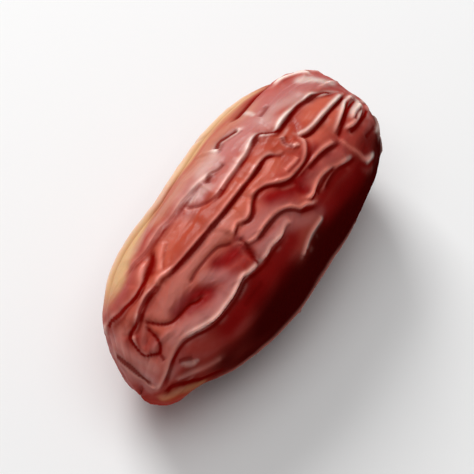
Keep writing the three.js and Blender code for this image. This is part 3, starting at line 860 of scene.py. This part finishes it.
# %% Helpers for nodes
def node(tree, kind, **settings):
    made = tree.nodes.new(kind)
    for name, value in settings.items():
        if name in made.inputs:
            made.inputs[name].default_value = value
        else:
            setattr(made, name, value)
    return made


def feed(tree, socket, value):
    """Link a socket to another node's output, or set it to a number or a colour."""
    if isinstance(value, bpy.types.NodeSocket):
        tree.links.new(value, socket)
    else:
        socket.default_value = (*value, 1) if isinstance(value, tuple) else value


def layer(tree, share, below, above):
    made = node(tree, "ShaderNodeMix", data_type="RGBA")
    feed(tree, made.inputs["Factor"], share)
    feed(tree, made.inputs[6], below)
    feed(tree, made.inputs[7], above)
    return made.outputs[2]


def calculate(tree, operation, first, second):
    made = node(tree, "ShaderNodeMath", operation=operation)
    feed(tree, made.inputs[0], first)
    feed(tree, made.inputs[1], second)
    return made.outputs[0]


def times(tree, first, second):
    return calculate(tree, "MULTIPLY", first, second)


def rest_of(tree, share):
    return calculate(tree, "SUBTRACT", 1.0, share)


# %% Helpers for what the nodes read
def ramp(tree, value, start, end, low_value=0.0, high_value=1.0):
    made = node(tree, "ShaderNodeMapRange", **{"From Min": start, "From Max": end})
    made.inputs["To Min"].default_value = low_value
    made.inputs["To Max"].default_value = high_value
    tree.links.new(value, made.inputs["Value"])
    return made.outputs["Result"]


def note(tree, name):
    return node(tree, "ShaderNodeAttribute", attribute_name=name).outputs["Fac"]


def pattern(tree, scale, stretch, detail=4.0, roughness=0.55):
    """Noise in the piece's own space, with scale in features per millimetre."""
    place = node(tree, "ShaderNodeTexCoord").outputs["Object"]
    mapping = node(tree, "ShaderNodeMapping")
    mapping.inputs["Scale"].default_value = (1 / (MM * stretch), 1 / MM, 1 / MM)
    tree.links.new(place, mapping.inputs["Vector"])
    made = node(tree, "ShaderNodeTexNoise", Scale=scale, Detail=detail, Roughness=roughness)
    tree.links.new(mapping.outputs["Vector"], made.inputs["Vector"])
    return made.outputs["Fac"]


# %% Skin colours
# painted shadow on the dark flank
SHADOW_SIDE_RED = (0.050, 0.0014, 0.0012)
BROWN_RED = (0.430, 0.054, 0.038)
# a lighter brown tone of the light panels, also used as painted light before the crests
LIGHT_BROWN = (0.700, 0.165, 0.100)
TIP_BROWN = (0.240, 0.022, 0.020)
ORANGE = (0.420, 0.050, 0.022)
MOIST_RED = (0.260, 0.0040, 0.0040)
# painted shade on the slope towards the light
SLOPE_SHADE_RED = (0.300, 0.012, 0.006)
# dry skin with a painted sheen on it
DRY_AND_SHEEN_PINK = (0.580, 0.270, 0.250)
TAN = (0.660, 0.370, 0.175)
# painted shade in the creases and the lee of the folds, lighter on the dry pink panels
CREASE_SHADE_RED = (0.200, 0.0025, 0.0012)
CREASE_SHADE_ON_PINK = (0.200, 0.040, 0.032)
# painted highlights on the crests, orange and pale, over pale dry skin
CREST_ORANGE = (0.880, 0.250, 0.185)
CREST_PALE = (1.000, 0.780, 0.690)
# painted highlights, with some bleached cream skin
HIGHLIGHT_CREAM = (0.850, 0.720, 0.640)
SCAR_GREY = (0.300, 0.210, 0.150)

# %% Start the material and read the notes
material = bpy.data.materials.new("date_skin")
material.use_nodes = True
tree = material.node_tree
shader = tree.nodes["Principled BSDF"]
on_shadow_side = note(tree, "shadow_side")
on_lit_side = note(tree, "lit_side")
in_moist = note(tree, "moist")
not_moist = rest_of(tree, in_moist)
in_orange = note(tree, "orange")
in_dry_and_sheen = note(tree, "dry_and_sheen")
on_crest = note(tree, "dry_crest_and_highlight")
# where the creases and the lee of the folds are painted in shade
in_fold_shade = ramp(tree, note(tree, "painted_fold_shade"), 0.14, 1.0)
print(f"{len(skin.data.attributes)} attributes on the mesh")

# %% The ground colour, from the tip to the stem and round the fruit
MOTTLE_SHARE, TIP_SHARE, LIGHT_SHARE, DEEPER_SHADOW = 0.6, 0.34, 0.45, 0.5
mottle = ramp(tree, pattern(tree, 0.16, 2.5), 0.42, 0.62)
colour = layer(tree, times(tree, mottle, MOTTLE_SHARE), BROWN_RED, MOIST_RED)
colour = layer(tree, times(tree, note(tree, "dark_tip"), TIP_SHARE), colour, TIP_BROWN)
colour = layer(tree, in_orange, colour, ORANGE)
in_light = times(tree, note(tree, "light"), not_moist)
colour = layer(tree, times(tree, in_light, LIGHT_SHARE), colour, LIGHT_BROWN)
# painted shadow: the flank that turns away from the light
colour = layer(tree, on_shadow_side, colour, SHADOW_SIDE_RED)
colour = layer(tree, in_moist, colour, MOIST_RED)
# a second layer of painted shadow over the moist red of the flank
colour = layer(tree, times(tree, on_shadow_side, DEEPER_SHADOW), colour, SHADOW_SIDE_RED)

# %% Painted shade and light on the slopes of the folds, the dry panels with a painted sheen, the tan skin and painted highlights
BLOOM_SHARE, DRY_AND_SHEEN_SHARE, SLOPE_SHADE_SHARE, UPSLOPE_SHARE, HIGHLIGHT_CREAM_SHARE = 0.35, 0.7, 0.12, 0.55, 0.7
bloom_and_sheen = times(tree, ramp(tree, pattern(tree, 0.22, 2.0), 0.50, 0.68), BLOOM_SHARE)
bloom_and_sheen = times(tree, times(tree, bloom_and_sheen, not_moist), rest_of(tree, in_orange))
# dry skin and waxy bloom, painted with a sheen, only on the lit side
dry_and_sheen = times(tree, calculate(tree, "MAXIMUM", bloom_and_sheen, in_dry_and_sheen), DRY_AND_SHEEN_SHARE)
dry_and_sheen = times(tree, dry_and_sheen, on_lit_side)
# painted shade: a faint red on the slope towards the light
colour = layer(tree, times(tree, note(tree, "painted_slope_shade"), SLOPE_SHADE_SHARE), colour, SLOPE_SHADE_RED)
lit_upslope = times(tree, note(tree, "painted_upslope_light"), not_moist)
# painted light: lighter brown on the slope just before each crest
colour = layer(tree, times(tree, lit_upslope, UPSLOPE_SHARE), colour, LIGHT_BROWN)
# dry pink panels with a painted sheen
colour = layer(tree, dry_and_sheen, colour, DRY_AND_SHEEN_PINK)
thin_skin = calculate(tree, "MAXIMUM", note(tree, "tan_band"), note(tree, "tan"))
colour = layer(tree, thin_skin, colour, TAN)
# painted white highlights, with some bleached cream skin
colour = layer(tree, times(tree, note(tree, "highlight_and_cream"), HIGHLIGHT_CREAM_SHARE), colour, HIGHLIGHT_CREAM)

# %% The painted highlights on the crests, the painted shade in the creases, and the scar
SHADOW_SIDE_CREASE = 0.8
# painted highlight on the crests, whiter where they glint, over pale dry skin
crest_colour = layer(tree, note(tree, "bleached_and_glinting"), CREST_ORANGE, CREST_PALE)
colour = layer(tree, on_crest, colour, crest_colour)
# painted shade in the creases, lighter on the dry pink panels and darkest on the shadowed flank
crease_shade_colour = layer(tree, in_dry_and_sheen, CREASE_SHADE_RED, CREASE_SHADE_ON_PINK)
crease_shade_colour = layer(tree, times(tree, on_shadow_side, SHADOW_SIDE_CREASE), crease_shade_colour, SHADOW_SIDE_RED)
colour = layer(tree, in_fold_shade, colour, crease_shade_colour)
colour = layer(tree, note(tree, "scar"), colour, SCAR_GREY)
tree.links.new(colour, shader.inputs["Base Color"])
print(f"the colour takes {len(tree.nodes)} nodes")

# %% Skin depth and coat
DRY_FILM, LIT_FILM, MOIST_LOSS = 0.35, 0.25, 0.7
shader.inputs["Subsurface Weight"].default_value = 0.15
shader.inputs["Subsurface Radius"].default_value = (1.0, 0.22, 0.1)
shader.inputs["Subsurface Scale"].default_value = 1.6 * MM
shader.inputs["Specular IOR Level"].default_value = 0.0
shader.inputs["Coat Roughness"].default_value = 0.28
film = calculate(tree, "ADD", times(tree, dry_and_sheen, DRY_FILM), times(tree, on_lit_side, LIT_FILM))
film = times(tree, film, rest_of(tree, times(tree, in_moist, MOIST_LOSS)))
film = calculate(tree, "MAXIMUM", film, on_crest)
film = times(tree, film, rest_of(tree, in_fold_shade))
tree.links.new(film, shader.inputs["Coat Weight"])

# %% Skin grain
FLANK_DULLNESS = 0.15
grain_gloss = ramp(tree, pattern(tree, 0.5, 2.0), 0.3, 0.7, 0.32, 0.46)
roughness = calculate(tree, "ADD", grain_gloss, times(tree, on_shadow_side, FLANK_DULLNESS))
tree.links.new(roughness, shader.inputs["Roughness"])
grain = node(tree, "ShaderNodeBump", Strength=0.5, Distance=0.10 * MM)
tree.links.new(pattern(tree, 2.2, 2.2, 6.0, 0.6), grain.inputs["Height"])
tree.links.new(grain.outputs["Normal"], shader.inputs["Normal"])
skin.data.materials.append(material)
print(f"the whole material takes {len(tree.nodes)} nodes")

# %% Say what the skin stands for
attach(skin, "root")
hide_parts("kalmi_date")

# %% [markdown]
# ## Table, camera and light
#
# The fruit lies on a plain white table. The camera looks down along a slope, so that the fruit
# rises from the lower left to the upper right. A long lens from far away keeps its two ends
# equally large. One lamp stands low behind the upper left side of the picture: it rakes over
# the skin, makes each fold throw a shade to the lower right and leaves that flank dark. A very
# wide lamp overhead and a pale sky keep the shades soft.

# %% Table
bpy.ops.object.select_all(action="DESELECT")
bpy.ops.mesh.primitive_plane_add(size=4, location=(0, 0, 0))
table = bpy.context.object
table.name = "table"
table_white = bpy.data.materials.new("table_white")
table_white.use_nodes = True
table_shader = table_white.node_tree.nodes["Principled BSDF"]
table_shader.inputs["Base Color"].default_value = (0.90, 0.90, 0.90, 1)
table_shader.inputs["Roughness"].default_value = 0.7
table.data.materials.append(table_white)

# %% Camera
AZIMUTH = math.radians(-56.8)
ELEVATION = math.radians(59.2)
DISTANCE = 0.6  # m
FRAME_SIDE = 0.052  # m of the table that the picture's side shows
SENSOR = 36  # mm
level = math.cos(ELEVATION)
back = Vector((math.sin(AZIMUTH) * level, -math.cos(AZIMUTH) * level, math.sin(ELEVATION)))
right = Vector((math.cos(AZIMUTH), math.sin(AZIMUTH), 0))
up = back.cross(right)
target = (low + high) / 2
camera = bpy.data.objects.new("camera", bpy.data.cameras.new("camera"))
bpy.context.collection.objects.link(camera)
camera.location = target + DISTANCE * back
camera.rotation_euler = back.to_track_quat("Z", "Y").to_euler()
camera.data.sensor_width = SENSOR
camera.data.lens = SENSOR * DISTANCE / FRAME_SIDE
bpy.context.scene.camera = camera
print(f"a {camera.data.lens:.0f} mm lens from {DISTANCE} m")


# %% Lamps
def lamp(name, direction, distance, size, power):
    """A square lamp, with distance and size in metres and power in watts."""
    bulb = bpy.data.lights.new(name, "AREA")
    bulb.shape = "RECTANGLE"
    bulb.size = bulb.size_y = size
    bulb.energy = power
    made = bpy.data.objects.new(name, bulb)
    bpy.context.collection.objects.link(made)
    made.location = target + distance * direction.normalized()
    made.rotation_euler = direction.to_track_quat("Z", "Y").to_euler()
    print(f"{name}: {power} W")


lamp("main_lamp", -0.35 * right + 0.92 * up + 0.15 * back, 0.55, 0.26, 2.3)
lamp("overhead_fill", Vector((0, 0, 1)), 0.8, 0.8, 2.9)

# %% Sky
world = bpy.data.worlds.new("studio")
bpy.context.scene.world = world
world.use_nodes = True
sky = world.node_tree.nodes["Background"]
sky.inputs["Color"].default_value = (1, 1, 1, 1)
sky.inputs["Strength"].default_value = 0.2
bpy.context.scene.view_settings.view_transform = "Standard"
